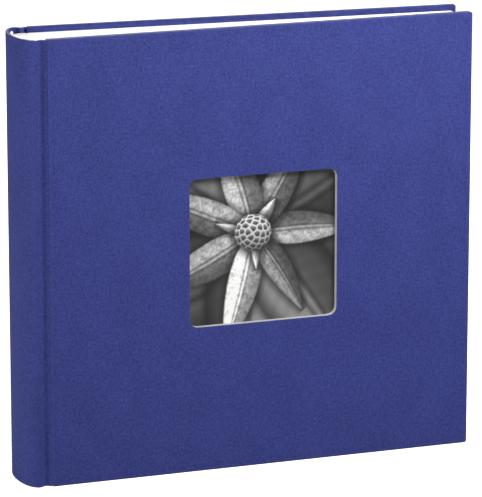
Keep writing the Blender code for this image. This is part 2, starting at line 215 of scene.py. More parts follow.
class AlbumClothSettings(bpy.types.PropertyGroup):
    """Book cloth of the case."""

    colour: colour_setting(
        "Cloth colour", "Colour of the cloth's raised threads", (0.0435, 0.0585, 0.279)
    )
    # The dark colour also serves as painted shade: between the cloth's threads and on its rims and
    # turn-ins
    dye_and_shade_colour: colour_setting(
        "Cloth shade colour",
        "Colour between the threads and where the dye is deepest",
        (0.0095, 0.0145, 0.112),
    )
    worn_colour: colour_setting(
        "Rubbed colour", "Colour where handling has rubbed the cloth's edges", (0.090, 0.110, 0.360)
    )
    thickness: length_setting("Cloth thickness", "Thickness of the book cloth", 0.35 * MM)
    thread_pitch: length_setting(
        "Thread pitch", "Distance from one thread of the cloth to the next", 0.62 * MM
    )
    edge_round: length_setting(
        "Edge rounding", "How far the cloth rounds over the edges of the boards", 0.85 * MM
    )


class AlbumPaperSettings(bpy.types.PropertyGroup):
    """Leaves, endpapers, boards and glassine."""

    leaf_colour: colour_setting("Leaf colour", "Colour of the card leaves", (0.90, 0.89, 0.86))
    endpaper_colour: colour_setting(
        "Endpaper colour", "Colour of the endpapers", (0.86, 0.85, 0.81)
    )
    board_colour: colour_setting(
        "Board colour", "Colour of the grey board's cut edge", (0.50, 0.49, 0.48)
    )
    glassine: length_setting(
        "Glassine thickness", "Thickness of the glassine sheets between the leaves", 0.05 * MM
    )


class AlbumPictureSettings(bpy.types.PropertyGroup):
    """The black-and-white plant picture behind the window."""

    bud_across: share_setting(
        "Bud place across", "Place of the bud's middle, as a share of the picture's width", 0.44
    )
    bud_up: share_setting(
        "Bud place up", "Place of the bud's middle, as a share of the picture's height", 0.60
    )
    bud_size: share_setting(
        "Bud size", "Radius of the bud, as a share of the picture's width", 0.125, 0.02, 0.4
    )
    columns: bpy.props.IntProperty(
        name="Picture columns",
        description="Columns of small faces that carry the picture's tones",
        default=240,
        min=20,
        max=300,
    )


class AlbumStageSettings(bpy.types.PropertyGroup):
    """Floor, lights and room."""

    floor_colour: colour_setting("Floor colour", "Colour of the plain floor", (0.93, 0.93, 0.93))
    key_power: power_setting("Key light", "Power of the large soft light", 8.6)
    fill_power: power_setting("Fill light", "Power of the light on the spine's side", 12.5)
    back_power: power_setting("Back light", "Power of the light behind the album", 11.0)
    room_light: share_setting("Room light", "Strength of the white room round the album", 0.17)
    floor_glow: share_setting(
        "Floor glow", "Light that the floor shows of its own, which keeps it near white", 0.88
    )
    floor_bounce: share_setting(
        "Floor bounce", "Share of the light that the floor throws back onto the album", 0.30
    )


# Hand tools


def activate(piece):
    """Selects one piece alone."""
    bpy.ops.object.select_all(action="DESELECT")
    piece.select_set(True)
    bpy.context.view_layer.objects.active = piece


def named(name):
    """Names the piece that an operator has just added."""
    piece = bpy.context.object
    piece.name = name
    piece.data.name = name
    return piece


def settled(name, scale):
    """Names and scales the piece that an operator has just added, and applies its transform."""
    piece = named(name)
    piece.scale = scale
    bpy.ops.object.transform_apply(location=True, rotation=True, scale=True)
    return piece


def block(name, low, high):
    """A cube that fills the room between two corners."""
    low, high = Vector(low), Vector(high)
    bpy.ops.mesh.primitive_cube_add(size=1, location=(low + high) / 2)
    return settled(name, high - low)


class Edit:
    """Edit mode on one piece, for the length of a with block."""

    def __init__(self, piece):
        self.piece = piece

    def __enter__(self):
        activate(self.piece)
        bpy.ops.object.mode_set(mode="EDIT")
        return self

    def __exit__(self, *error):
        bpy.ops.object.mode_set(mode="OBJECT")

    def select(self, kind, test):
        """Selects the parts that pass a test on their middle and their normal or direction."""
        bpy.ops.mesh.select_mode(type=kind)
        bpy.ops.mesh.select_all(action="DESELECT")
        mesh = bmesh.from_edit_mesh(self.piece.data)
        if kind == "FACE":
            found = [f for f in mesh.faces if test(f.calc_center_median(), f.normal)]
        elif kind == "EDGE":
            found = []
            for edge in mesh.edges:
                start, end = (v.co for v in edge.verts)
                if test((start + end) / 2, (end - start).normalized()):
                    found.append(edge)
        else:
            found = [v for v in mesh.verts if test(v.co, v.normal)]
        if not found:
            raise RuntimeError(f"nothing on {self.piece.name} passes the selection")
        for part in found:
            part.select_set(True)
        mesh.select_flush_mode()
        bmesh.update_edit_mesh(self.piece.data)

    def bevel(self, width, segments):
        bpy.ops.mesh.bevel(offset=width, segments=segments, affect="EDGES", clamp_overlap=True)

    def slice(self, place, normal):
        """Cuts an edge loop through the whole piece."""
        bpy.ops.mesh.select_all(action="SELECT")
        bpy.ops.mesh.bisect(plane_co=place, plane_no=normal)


def apply_modifier(piece, kind, **settings):
    """Adds a modifier, sets it and applies it."""
    modifier = piece.modifiers.new(kind.lower(), kind)
    for key, value in settings.items():
        setattr(modifier, key, value)
    activate(piece)
    bpy.ops.object.modifier_apply(modifier=modifier.name)


def cut(piece, *cutters):
    """Cuts the shapes of other pieces out of a piece and removes them."""
    for tool in cutters:
        apply_modifier(piece, "BOOLEAN", operation="DIFFERENCE", solver="EXACT", object=tool)
        bpy.data.objects.remove(tool)


def thicken(piece, thickness):
    """Gives a surface its thickness, on the side away from its normals."""
    apply_modifier(piece, "SOLIDIFY", thickness=thickness, offset=-1, use_even_offset=True)


def smooth(piece, degrees=32):
    activate(piece)
    bpy.ops.object.shade_smooth_by_angle(angle=math.radians(degrees))


def own_copy(piece, name):
    """A copy of a piece with its own mesh."""
    made = piece.copy()
    made.data = piece.data.copy()
    made.name = name
    made.data.name = name
    bpy.context.scene.collection.objects.link(made)
    return made


def strip(name, section, low, high, thickness):
    """A sheet that follows a section of (x, y) places, from low to high, with a thickness."""
    first, second = Vector((*section[0], 0)), Vector((*section[1], 0))
    step = second - first
    middle = (first + second) / 2 + Vector((0, 0, (low + high) / 2))
    angle = math.atan2(step.y, step.x)
    bpy.ops.mesh.primitive_plane_add(size=1, location=middle, rotation=(math.pi / 2, 0, angle))
    piece = settled(name, (step.length, high - low, 1))
    with Edit(piece) as edit:
        edit.select("EDGE", lambda m, d: abs(d.z) > 0.9 and (m.xy - second.xy).length < SAME_PLACE)
        for start, end in zip(section[1:], section[2:]):
            move = (end[0] - start[0], end[1] - start[1], 0)
            bpy.ops.mesh.extrude_region_move(TRANSFORM_OT_translate={"value": move})
    thicken(piece, thickness)
    return piece


def curve_through(points, steps):
    """A smooth line of places through a few points."""
    path = [Vector(point) for point in points]
    path = [path[0] * 2 - path[1], *path, path[-1] * 2 - path[-2]]
    made = []
    for a, b, c, d in zip(path, path[1:], path[2:], path[3:]):
        square = 2 * a - 5 * b + 4 * c - d
        cube = 3 * b - a - 3 * c + d
        for k in range(steps):
            t = k / steps
            made.append(tuple(0.5 * (2 * b + (c - a) * t + square * t**2 + cube * t**3)))
    return [*made, tuple(points[-1])]


def run_attribute(piece, run):
    """Stores how far across and up the cloth each vertex is, as laid flat, for the weave."""
    layer = piece.data.attributes.new("cloth_run", "FLOAT_VECTOR", "POINT")
    flat = [c for v in piece.data.vertices for c in run(v.co)]
    layer.data.foreach_set("vector", flat)


# Materials


class Value:
    """A number that varies over a surface; arithmetic on it adds Math nodes."""

    def __init__(self, finish, socket):
        self.finish = finish
        self.socket = socket

    def math(self, operation, *values):
        inputs = dict(enumerate(values))
        node = self.finish.node("Math", {"operation": operation}, inputs)
        return Value(self.finish, node.outputs[0])

    def __add__(self, other):
        return self.math("ADD", self, other)

    def __sub__(self, other):
        return self.math("SUBTRACT", self, other)

    def __rsub__(self, other):
        return self.math("SUBTRACT", other, self)

    def __mul__(self, other):
        return self.math("MULTIPLY", self, other)

    def __pow__(self, other):
        return self.math("POWER", self, other)

    __radd__ = __add__

    def __abs__(self):
        return self.math("ABSOLUTE", self)

    def least(self, other):
        return self.math("MINIMUM", self, other)

    def most(self, other):
        return self.math("MAXIMUM", self, other)

    def sine(self):
        return self.math("SINE", self)

    def above(self, level):
        return self.math("GREATER_THAN", self, level)

    def ease(self, low, high):
        """Goes smoothly from nought to one as the value goes from low to high."""
        inputs = {"Value": self, "From Min": low, "From Max": high}
        node = self.finish.node("MapRange", {"interpolation_type": "SMOOTHSTEP"}, inputs)
        return Value(self.finish, node.outputs[0])


class Finish:
    """A procedural material on one Principled shader."""

    def __init__(self, name, **constants):
        self.material = bpy.data.materials.new(name)
        self.material.use_nodes = True
        self.tree = self.material.node_tree
        self.shader = self.tree.nodes["Principled BSDF"]
        for key, value in constants.items():
            self.shader.inputs[key.replace("_", " ")].default_value = value

    def join(self, value, socket):
        if isinstance(value, Value):
            value = value.socket
        if isinstance(value, bpy.types.NodeSocket):
            self.tree.links.new(value, socket)
        elif isinstance(value, (tuple, list)) and len(value) == 3 and socket.type == "RGBA":
            socket.default_value = (*value, 1)
        else:
            socket.default_value = value

    def node(self, kind, settings=None, inputs=None):
        """Adds a node, sets it, then fills its sockets by name or number."""
        node = self.tree.nodes.new("ShaderNode" + kind)
        for key, value in (settings or {}).items():
            setattr(node, key, value)
        for key, value in (inputs or {}).items():
            self.join(value, node.inputs[key])
        return node

    def place(self):
        """The piece's own coordinates, in metres."""
        return self.node("TexCoord").outputs["Object"]

    def run(self):
        """Where the cloth or paper is as laid flat, in metres."""
        return self.node("Attribute", {"attribute_name": "cloth_run"}).outputs["Vector"]

    def parts(self, vector):
        node = self.node("SeparateXYZ", inputs={0: vector})
        return [Value(self, socket) for socket in node.outputs]

    def noise(self, vector, sizes, detail=2.0, roughness=0.5):
        """Noise with one grain size, or with one along each axis."""
        sizes = sizes if isinstance(sizes, tuple) else (sizes,) * 3
        scale = {0: vector, 1: tuple(1 / size for size in sizes)}
        steps = self.node("VectorMath", {"operation": "MULTIPLY"}, scale).outputs[0]
        inputs = {"Vector": steps, "Scale": 1.0, "Detail": detail, "Roughness": roughness}
        return Value(self, self.node("TexNoise", inputs=inputs).outputs[0])

    def mix(self, factor, first, second):
        """Mixes two colours."""
        node = self.node("Mix", {"data_type": "RGBA"}, {0: factor, 6: first, 7: second})
        return node.outputs[2]

    def shade(self, factor, colour, share):
        """Goes from a share of a colour to the whole of it."""
        return self.mix(factor, tuple(c * share for c in colour), tuple(colour))

    def bump(self, height, distance, strength):
        inputs = {"Height": height, "Distance": distance, "Strength": strength}
        self.join(self.node("Bump", inputs=inputs).outputs["Normal"], self.shader.inputs["Normal"])

    def set(self, **inputs):
        for key, value in inputs.items():
            self.join(value, self.shader.inputs[key.replace("_", " ")])
        return self.material


def book_cloth(name, width=None, window=None):
    """Linen-weave book cloth: uneven threads, rubbed edges, and painted shade between the threads
    and where the cloth folds over the case's edges.

    width is a cover's width where its side edges rub too, and window is the cut-out's middle and
    half its size, across and up.
    """
    cloth = bpy.context.scene.album_cloth
    finish = Finish(name, Specular_IOR_Level=0.35, Sheen_Weight=0.10, Sheen_Roughness=0.45)
    run = finish.run()
    across, up, _ = finish.parts(run)
    # Threads: thick and thin places, knots, and the weave itself
    pitch, long = cloth.thread_pitch, 7 * MM
    upright = finish.noise(run, (pitch, long, 1), detail=3)
    level = finish.noise(run, (long * 0.6, pitch, 1), detail=3)
    slubs = (upright * 0.6 + level * 0.4).ease(0.34, 0.68)
    knots = finish.noise(run, (1.5 * MM, 1.8 * MM, 1), detail=3, roughness=0.7).ease(0.36, 0.64)
    wander = finish.noise(run, 6 * MM) * 0.9
    turn_across = (across * (math.pi / pitch) + wander).sine()
    turn_up = (up * (math.pi / pitch) + wander).sine()
    over = (turn_across * turn_up).above(0)
    warp = abs(turn_across) * (0.55 + abs(turn_up) * 0.45)
    weft = abs(turn_up) * (0.55 + abs(turn_across) * 0.45)
    weave = warp * over + weft * (1 - over)
    fuzz = finish.noise(run, 0.55 * pitch)
    cloud = finish.noise(run, (22 * MM, 35.2 * MM, 1), detail=4).ease(0.3, 0.7)
    # The weave term paints the thread crowns lighter and the gaps between threads darker, as
    # painted shade; slubs, knots and clouds are the dye's own unevenness
    depth = slubs * 0.26 + weave * 0.18 + knots * 0.44 + cloud * 0.12
    # Distance from the nearest edge of the case, below nought where the cloth folds over it
    edge = up.least(HEIGHT - up)
    if width:
        edge = edge.least(across).least(width - across)
        depth = depth - (1 - abs(edge - 3.4 * MM).ease(0, 2.2 * MM)) * 0.06
    # Painted shade on the rims: from just inside the case's edges outwards over the rims and
    # turn-ins, the colour goes 70 % of the way to the dark colour
    fold = 1 - edge.ease(-0.9 * MM, 0.5 * MM)
    rub = finish.noise(run, 5 * MM, detail=4)
    worn = (1 - edge.ease(0.2 * MM, 1.7 * MM)) * rub.ease(0.35, 0.75)
    worn_colour = tuple(cloth.worn_colour)
    colour = finish.mix(depth * (1 - fold * 0.7), tuple(cloth.dye_and_shade_colour), tuple(cloth.colour))
    colour = finish.mix(worn * 0.15, colour, worn_colour)
    if window:
        middle_x, middle_z, half_x, half_z = window
        offset_x = (abs(across - middle_x) - (half_x - WINDOW_ROUND)).most(0)
        offset_z = (abs(up - middle_z) - (half_z - WINDOW_ROUND)).most(0)
        gap = (offset_x * offset_x + offset_z * offset_z) ** 0.5 - WINDOW_ROUND
        lip = (1 - gap.ease(0, 0.9 * MM)) * rub.ease(0.3, 0.7)
        colour = finish.mix(lip * 0.25, colour, worn_colour)
    finish.bump(weave * 0.55 + slubs * 0.35 + fuzz * 0.2, 0.10 * MM, 0.55)
    roughness = 0.80 - slubs * 0.12 + fuzz * 0.08 - worn * 0.10
    return finish.set(Base_Color=colour, Roughness=roughness)


def paper(name, colour, contrast=0.05):
    """Uncoated paper or card: a fine tooth, faint clouds and a few pressed fibres."""
    finish = Finish(name, IOR=1.45)
    place = finish.place()
    grain = finish.noise(place, 0.25 * MM, detail=3)
    cloud = finish.noise(place, 18 * MM, detail=3)
    hair = finish.noise(place, (0.3 * MM, 0.3 * MM, 4 * MM))
    clouded = (grain * 0.45 + cloud * 0.55) * 0.8 + hair * 0.2
    shown = finish.shade(clouded.ease(0.3, 0.7), colour, 1 - contrast * 2)
    finish.bump(grain * 0.7 + hair * 0.3, 0.02 * MM, 0.7)
    return finish.set(Base_Color=shown, Roughness=0.82 - grain * 0.08)


def greyboard(name, colour):
    """Grey board: layers of pressed pulp along its thickness, with dark and pale flecks."""
    finish = Finish(name, IOR=1.45)
    place = finish.place()
    layers = finish.noise(place, (9 * MM, 0.28 * MM, 9 * MM), detail=4, roughness=0.6)
    flecks = finish.noise(place, 0.5 * MM)
    cloud = finish.noise(place, 8 * MM, detail=3)
    pulp = layers * 0.45 + flecks * 0.25 + cloud * 0.3
    shown = finish.shade(pulp.ease(0.32, 0.66), colour, 0.66)
    shown = finish.mix(flecks.ease(0.68, 0.74) * 0.5, shown, (0.24, 0.23, 0.22))
    finish.bump(layers * 0.6 + flecks * 0.4, 0.06 * MM, 0.8)
    return finish.set(Base_Color=shown, Roughness=0.88 + flecks * 0.08)


def woven(name, colour, pitch, contrast, rough):
    """An open plain weave on the piece's own coordinates, for tape, gauze and wound thread."""
    finish = Finish(name, IOR=1.45, Sheen_Weight=0.1)
    place = finish.place()
    _, across, up = finish.parts(place)
    first = (across * (math.pi / pitch)).sine()
    second = (up * (math.pi / pitch)).sine()
    over = (first * second).above(0)
    weave = abs(first) * over + abs(second) * (1 - over)
    cloud = finish.noise(place, 3 * MM, detail=3)
    shown = finish.shade((weave * 0.7 + cloud * 0.3).ease(0.15, 0.8), colour, 1 - contrast)
    finish.bump(weave, 0.12 * MM, 0.9)
    return finish.set(Base_Color=shown, Roughness=rough - weave * 0.06)


def silk_wrap(name, colour):
    """Thread wound round a headband's core, with a shade line between one turn and the next."""
    finish = Finish(name, IOR=1.5, Sheen_Weight=0.15)
    ribs, _, _ = finish.parts(finish.run())
    strands = finish.noise(finish.place(), (0.22 * MM, 0.22 * MM, 1.4 * MM))
    shown = finish.shade(ribs * 0.75 + strands * 0.25, colour, 0.72)
    finish.bump(strands, 0.05 * MM, 0.8)
    return finish.set(Base_Color=shown, Roughness=0.58 - strands * 0.1)


def printed_paper(name):
    """Satin photographic paper that carries the picture's tones."""
    finish = Finish(name, IOR=1.5, Coat_Roughness=0.28)
    tone = finish.node("Attribute", {"attribute_name": "print_tone"}).outputs["Fac"]
    place = finish.place()
    grain = finish.noise(place, 0.45 * MM)
    tooth = finish.noise(place, 0.9 * MM)
    shown = (Value(finish, tone) + (grain - 0.5) * 0.05).most(0)
    colour = finish.mix(shown, (0.010, 0.010, 0.011), (0.90, 0.90, 0.89))
    finish.bump(tooth, 0.01 * MM, 0.4)
    coat = 0.12 + grain * 0.05
    return finish.set(Base_Color=colour, Roughness=0.44 - tooth * 0.10, Coat_Weight=coat)


def glassine_sheet(name):
    """Thin glazed sheet, cloudy with fibres, that the leaf under it shows through."""
    finish = Finish(name, IOR=1.45)
    place = finish.place()
    cloud = finish.noise(place, 7 * MM, detail=4)
    hair = finish.noise(place, (0.35 * MM, 0.35 * MM, 3 * MM), detail=3)
    colour = finish.mix(cloud * 0.6 + hair * 0.4, (0.80, 0.81, 0.80), (0.93, 0.93, 0.91))
    finish.bump(cloud * 0.7 + hair * 0.3, 0.12 * MM, 0.6)
    return finish.set(Base_Color=colour, Roughness=0.34 + hair * 0.12, Alpha=0.68 + cloud * 0.2)


def finish_named(name):
    """The material of that name, made when first asked for."""
    if name in bpy.data.materials:
        return bpy.data.materials[name]
    settings = bpy.context.scene.album_paper
    width = FORE_X - GROOVE_X
    window = (
        sum(WINDOW_X) / 2 - GROOVE_X,
        sum(WINDOW_Z) / 2,
        (WINDOW_X[1] - WINDOW_X[0]) / 2,
        (WINDOW_Z[1] - WINDOW_Z[0]) / 2,
    )
    makers = {
        "front cover cloth": lambda: book_cloth(name, width, window),
        "back cover cloth": lambda: book_cloth(name, width),
        "spine cloth": lambda: book_cloth(name),
        "grey board": lambda: greyboard(name, settings.board_colour),
        "leaf card": lambda: paper(name, settings.leaf_colour),
        "endpaper": lambda: paper(name, settings.endpaper_colour, contrast=0.04),
        "backing card": lambda: paper(name, (0.62, 0.60, 0.56), contrast=0.10),
        "kraft liner": lambda: paper(name, (0.42, 0.27, 0.15), contrast=0.14),
        "linen tape": lambda: woven(name, (0.74, 0.69, 0.59), 0.7 * MM, 0.4, 0.9),
        "mull gauze": lambda: woven(name, (0.82, 0.79, 0.72), 1.3 * MM, 0.55, 0.95),
        "linen thread": lambda: woven(name, (0.82, 0.78, 0.70), 0.5 * MM, 0.4, 0.85),
        "silk headband": lambda: silk_wrap(name, (0.92, 0.91, 0.88)),
        "printed paper": lambda: printed_paper(name),
        "glassine": lambda: glassine_sheet(name),
    }
    return makers[name]()


def dress(piece, finish):
    """Gives a piece its material."""
    piece.data.materials.clear()
    piece.data.materials.append(finish_named(finish))


# Case


def case_run(side, low, high):
    """How the cloth of a cover lies as laid flat, from a place on the straight cover."""
    outer = low.y if side.inward > 0 else high.y
    width, thick, height = high.x - low.x, high.y - low.y, high.z - low.z

    def run(place):
        across, up = place.x - low.x, place.z - low.z
        depth = (place.y - outer) * side.inward
        nearest = min(across, width - across, up, height - up)
        inner = depth > thick - RIM_DEPTH
        if not inner and nearest > RIM_WIDTH:
            return across, up, 0.0
        fold = thick + nearest if inner else depth
        if nearest == across:
            return (-fold if inner else across - fold), up, 0.0
        if nearest == width - across:
            return width + fold, up, 0.0
        return across, (-fold if nearest == up else height + fold), 0.0

    return run


def runs_through(middle, direction):
    """Whether an edge runs straight through a cover."""
    return abs(direction.y) > 0.9


def near_span(value, span):
    """Whether a value lies within two others, give or take a little."""
    slack = 0.1 * MM
    return span[0] - slack < value < span[1] + slack


def case_cloth(side):
    """A cover's book cloth: wrapped round the board's edges, mitred at its corners, turned in."""
    cloth = bpy.context.scene.album_cloth
    node = side.cover + "_cloth"
    low, high = side.straight_box(node)
    thick = Vector((cloth.thickness,) * 3)
    piece = block(side.name + "_case_cloth", low, high)
    with Edit(piece) as edit:
        edit.select("EDGE", runs_through)
        edit.bevel(CORNER_ROUND, 5)
        edit.select("EDGE", lambda m, d: abs(d.y) < 0.1)
        edit.bevel(cloth.edge_round, 4)
    pocket = block("pocket", low + thick, high - thick)
    with Edit(pocket) as edit:
        edit.select("EDGE", runs_through)
        edit.bevel(CORNER_ROUND - cloth.thickness, 5)
    inside = high.y if side.inward > 0 else low.y
    mouth = block(
        "mouth",
        ((low + thick).x, inside - 2 * thick.y, low.z + TURN_IN_WIDTH),
        (high.x - TURN_IN_WIDTH, inside + 2 * thick.y, high.z - TURN_IN_WIDTH),
    )
    cut(piece, pocket, mouth)
    for height, slope in ((low.z, 1), (high.z, -1)):
        reach, half = TURN_IN_WIDTH * 1.5, MITRE_SCORE / 2
        score = block("score", (-reach, -MITRE_SCORE, -half), (0, MITRE_SCORE, half))
        corner = Matrix.Translation((high.x, inside, height))
        score.data.transform(corner @ Matrix.Rotation(math.radians(45) * slope, 4, "Y"))
        cut(piece, score)
    if side is FRONT:
        window = block(
            "window",
            (WINDOW_X[0], low.y - 1 * MM, WINDOW_Z[0]),
            (WINDOW_X[1], low.y + 2 * MM, WINDOW_Z[1]),
        )
        with Edit(window) as edit:
            edit.select("EDGE", runs_through)
            edit.bevel(WINDOW_ROUND, 10)
        cut(piece, window)
        with Edit(piece) as edit:
            edit.select(
                "EDGE",
                lambda m, d: abs(m.y - low.y) < SAME_PLACE
                and abs(d.y) < 0.1
                and near_span(m.x, WINDOW_X)
                and near_span(m.z, WINDOW_Z),
            )
            edit.bevel(LIP_ROUND, 2)
    run_attribute(piece, case_run(side, low, high))
    piece.data.transform(side.closed)
    smooth(piece)
    apply_modifier(piece, "WEIGHTED_NORMAL", keep_sharp=True)
    dress(piece, side.name + " cover cloth")
    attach(piece, side.cover)
    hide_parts(node)


class ALBUM_OT_case_covers(bpy.types.Operator):
    """Make the cloth of the front and back covers, with the window's cut-out in front"""

    bl_idname = "album.case_covers"
    bl_label = "Case covers"

    def execute(self, context):
        for side in (FRONT, BACK):
            case_cloth(side)
        return {"FINISHED"}


def spine_angle(place):
    """Angle of a place round the spine: none at its back and a quarter turn at a shoulder."""
    return math.atan2(place.y / SPINE_HALF, (SHOULDER_X - place.x) / SPINE_BULGE)


class ALBUM_OT_spine(bpy.types.Operator):
    """Make the rounded cloth of the spine, turned in over its head and tail"""

    bl_idname = "album.spine"
    bl_label = "Spine cloth"

    def execute(self, context):
        cloth = context.scene.album_cloth
        bpy.ops.mesh.primitive_cylinder_add(
            vertices=144,
            radius=1,
            depth=1,
            end_fill_type="NOTHING",
            location=(SHOULDER_X, 0, HEIGHT / 2),
        )
        piece = settled("spine_case_cloth", (SPINE_BULGE, SPINE_HALF, HEIGHT))
        inner = (1 - SPINE_WALL / SPINE_BULGE, 1 - SPINE_WALL / SPINE_HALF, 1)
        with Edit(piece) as edit:
            edit.select("FACE", lambda m, n: m.x > SHOULDER_X)
            bpy.ops.mesh.delete(type="FACE")
            for end, turn_in in ((HEIGHT, -SPINE_TURN_IN), (0, SPINE_TURN_IN)):
                edit.select("EDGE", lambda m, d: abs(m.z - end) < SAME_PLACE and abs(d.z) < 0.1)
                bpy.ops.mesh.extrude_edges_move()
                bpy.ops.transform.resize(value=inner, center_override=(SHOULDER_X, 0, end))
                bpy.ops.mesh.extrude_edges_move(TRANSFORM_OT_translate={"value": (0, 0, turn_in)})
            edit.select(
                "EDGE",
                lambda m, d: min(abs(m.z - HEIGHT), abs(m.z)) < SAME_PLACE
                and abs(d.z) < 0.1
                and abs(self.radial(d, m)) < 0.5,
            )
            edit.bevel(RIM_ROUND, 3)
        thicken(piece, cloth.thickness)
        run_attribute(piece, self.run)
        smooth(piece)
        dress(piece, "spine cloth")
        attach(piece, "binding")
        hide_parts("spine_cloth")
        return {"FINISHED"}

    @staticmethod
    def radial(direction, middle):
        """Share of an edge's direction that runs across the rim."""
        angle = spine_angle(middle)
        return direction.x * -math.cos(angle) + direction.y * math.sin(angle)

    @staticmethod
    def run(place):
        """Round the spine by arc length, and up or over its turned-in head and tail."""
        angle = spine_angle(place)
        mean = (SPINE_HALF + SPINE_BULGE) / 2
        radius = math.hypot((SHOULDER_X - place.x) / SPINE_BULGE, place.y / SPINE_HALF)
        up = place.z
        if (1 - radius) * mean > SPINE_WALL / 2:
            up = 2 * HEIGHT - place.z if place.z > HEIGHT / 2 else -place.z
        return angle * mean * SPINE_ARC, up, 0.0


# The groove cloth's section, from the spine's ridge down to the cover's edge: millimetres past the
# shoulder, and depth under the cover's face
GROOVE_SECTION = (
    (-0.7, 0.848), (0.0, 0.87), (0.9, 1.15), (2.0, 1.85), (3.1, 2.65), (4.2, 3.0),
    (5.3, 2.8), (6.3, 2.2), (7.1, 1.45), (7.6, 1.0), (7.78, 0.78),
)

# The endpaper's section in the joint, from the pastedown to the front of the text block
ENDPAPER_SECTION = (
    (8.3, 6.39), (7.7, 6.36), (7.42, 6.0), (7.4, 4.6), (7.2, 4.0), (6.6, 3.86), (5.0, 3.86),
    (3.0, 3.86), (1.9, 3.9), (1.3, 4.2), (1.1, 4.8), (1.05, 6.2), (0.8, 6.75), (0.0, 6.97),
)


def groove_places(side, section, steps=4):
    """The places of a groove section on one side of the album."""
    face = COVER_LOW.y
    return [
        (SHOULDER_X + past * MM, (face + depth * MM) * side.inward)
        for past, depth in curve_through(section, steps)
    ]


def bend_in_groove(piece):
    """Bakes a piece's transform into its mesh."""
    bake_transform(piece)


def run_along(section, start):
    """How far along a section of places each place is, with its height."""
    lengths = [0.0]
    for a, b in zip(section, section[1:]):
        lengths.append(lengths[-1] + math.dist(a, b))

    def run(place):
        nearest = min(range(len(section)), key=lambda k: math.dist(section[k], place.xy))
        return start + lengths[nearest], place.z, 0.0

    return run


class ALBUM_OT_grooves(bpy.types.Operator):
    """Make the cloth in the grooves beside the spine"""

    bl_idname = "album.grooves"
    bl_label = "Groove cloth"

    def execute(self, context):
        cloth = context.scene.album_cloth
        for side in (FRONT, BACK):
            places = groove_places(side, GROOVE_SECTION)
            path = places if side is FRONT else places[::-1]
            low, high = GROOVE_TRIM, HEIGHT - GROOVE_TRIM
            piece = strip(side.name + "_groove_cloth", path, low, high, cloth.thickness)
            run_attribute(piece, run_along(places, GROOVE_RUN))
            smooth(piece, 60)
            dress(piece, "spine cloth")
            bend_in_groove(piece)
            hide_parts(side.name + "_joint_cloth")
        return {"FINISHED"}


# Picture

PICTURE_SEED = 23
BUD_SCALES = 64
BUD_TILT = math.radians(32)
GOLDEN_TURN = math.radians(137.5)
TONE_POWER = 1.15

# Rings of leaf blades, from the back: count, lengths, widths, tones, blur and the first one's turn
BLADE_RINGS = (
    (6, (0.95, 1.20), (0.20, 0.27), (0.10, 0.34), 0.09, 0.30),
    (7, (0.62, 0.82), (0.13, 0.18), (0.34, 1.20), 0.010, 0.05),
    (3, (0.24, 0.30), (0.13, 0.17), (0.90, 1.00), 0.008, 0.75),
)


def mottle(across, up, cells, seed):
    """Smooth random tones between nought and one, with this many cells across the picture."""
    table = np.random.default_rng(seed).random((cells + 2, cells + 2))
    x = (np.clip(across, -0.1, 1.1) + 0.1) / 1.2 * cells
    y = (np.clip(up, -0.1, 1.1) + 0.1) / 1.2 * cells
    column, row = x.astype(int), y.astype(int)
    u, v = x - column, y - row
    u, v = u * u * (3 - 2 * u), v * v * (3 - 2 * v)
    low = table[row, column] * (1 - u) + table[row, column + 1] * u
    high = table[row + 1, column] * (1 - u) + table[row + 1, column + 1] * u
    return low * (1 - v) + high * v


def leaf_blade(tones, across, up, root, blade, grain):
    """Paints one pointed leaf blade over the tones: a lit half, a shaded half and a midrib."""
    angle, length, width, tone, curl, blur = blade
    dx, dy = across - root[0], up - root[1]
    along = (dx * math.cos(angle) + dy * math.sin(angle)) / length
    aside = (-dx * math.sin(angle) + dy * math.cos(angle)) / length - curl * along**2
    share = np.clip(along, 0, 1)
    half = width * np.sin(math.pi * share**0.75) ** 0.8
    edge = (half - np.abs(aside)) * length
    inside = (along > 0) & (along < 1)
    shadow = np.clip(1 + edge / 0.05, 0, 1) * inside
    tones = tones * (1 - 0.75 * shadow)
    body = np.clip(edge / blur, 0, 1) * inside
    slant = aside / np.maximum(half, 1e-4)
    lit = 0.72 + 0.42 * np.tanh(slant * 4 * math.copysign(1, curl))
    veins = np.abs((along * 11 - np.abs(slant) * 1.3) % 1 - 0.5) * 2
    shade = tone * lit * (1 - 0.35 * np.abs(slant) ** 3) * (0.88 + 0.12 * veins)
    shade = shade * (1 + (grain - 0.5) * (1.5 - 0.9 * share))
    shade = shade * (1 - 0.55 * np.exp(-(((np.abs(slant) - 0.13) / 0.07) ** 2)))
    shade = shade + tone * 0.5 * np.exp(-((slant / 0.05) ** 2)) * (1 - share)
    return tones * (1 - body) + np.clip(shade, 0, 1) * body


